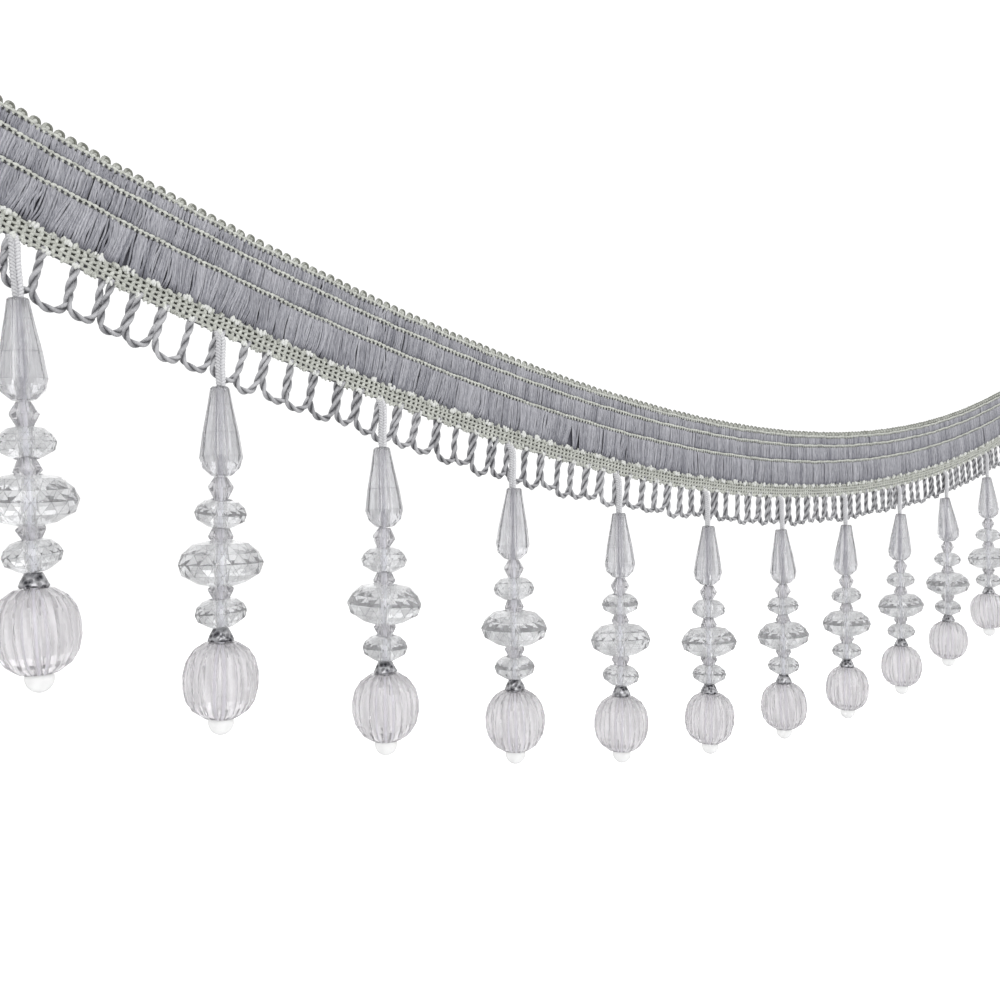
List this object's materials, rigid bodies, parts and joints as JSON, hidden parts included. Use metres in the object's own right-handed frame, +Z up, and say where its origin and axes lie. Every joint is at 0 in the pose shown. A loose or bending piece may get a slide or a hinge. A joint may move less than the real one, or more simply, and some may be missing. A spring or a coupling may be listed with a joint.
{
  "type": "beaded fringe trim",
  "caption": "Woven braid trim hanging in a swag, with a looped cord fringe and a row of faceted clear bead pendants, for edging curtains and shades.",
  "frame": {"origin": "middle of the heading's top edge, in the plane of its flat back", "axes": "+X along the trim, to the right as seen from the front; -Y out of the front; +Z up"},
  "size_m": [0.5638, 0.0202, 0.1899],
  "materials": {
    "braid": "satin yarn floats between pale grey-green binding lines",
    "fringe_cord": "twisted satin cord",
    "silver_cord": "fine braided silvery cord",
    "clear_bead": "clear smoke-tinted faceted acrylic, polished",
    "spacer_bead": "clear faceted acrylic, polished",
    "lantern_bead": "clear fluted acrylic with a faint lilac tint, polished",
    "end_ball": "plain clear acrylic, polished"
  },
  "bodies": {
    "root": {"heading": "braid", "loop_fringe": "fringe_cord", "hanging_cord_01": "silver_cord", "drop_bead_01": "clear_bead", "spacer_beads_01": "spacer_bead", "lantern_bead_01": "lantern_bead", "end_ball_01": "end_ball", "hanging_cord_02": "silver_cord", "drop_bead_02": "clear_bead", "spacer_beads_02": "spacer_bead", "lantern_bead_02": "lantern_bead", "end_ball_02": "end_ball", "hanging_cord_03": "silver_cord", "drop_bead_03": "clear_bead", "spacer_beads_03": "spacer_bead", "lantern_bead_03": "lantern_bead", "end_ball_03": "end_ball", "hanging_cord_04": "silver_cord", "drop_bead_04": "clear_bead", "spacer_beads_04": "spacer_bead", "lantern_bead_04": "lantern_bead", "end_ball_04": "end_ball", "hanging_cord_05": "silver_cord", "drop_bead_05": "clear_bead", "spacer_beads_05": "spacer_bead", "lantern_bead_05": "lantern_bead", "end_ball_05": "end_ball", "hanging_cord_06": "silver_cord", "drop_bead_06": "clear_bead", "spacer_beads_06": "spacer_bead", "lantern_bead_06": "lantern_bead", "end_ball_06": "end_ball", "hanging_cord_07": "silver_cord", "drop_bead_07": "clear_bead", "spacer_beads_07": "spacer_bead", "lantern_bead_07": "lantern_bead", "end_ball_07": "end_ball", "hanging_cord_08": "silver_cord", "drop_bead_08": "clear_bead", "spacer_beads_08": "spacer_bead", "lantern_bead_08": "lantern_bead", "end_ball_08": "end_ball", "hanging_cord_09": "silver_cord", "drop_bead_09": "clear_bead", "spacer_beads_09": "spacer_bead", "lantern_bead_09": "lantern_bead", "end_ball_09": "end_ball", "hanging_cord_10": "silver_cord", "drop_bead_10": "clear_bead", "spacer_beads_10": "spacer_bead", "lantern_bead_10": "lantern_bead", "end_ball_10": "end_ball", "hanging_cord_11": "silver_cord", "drop_bead_11": "clear_bead", "spacer_beads_11": "spacer_bead", "lantern_bead_11": "lantern_bead", "end_ball_11": "end_ball"}
  },
  "joints": []
}
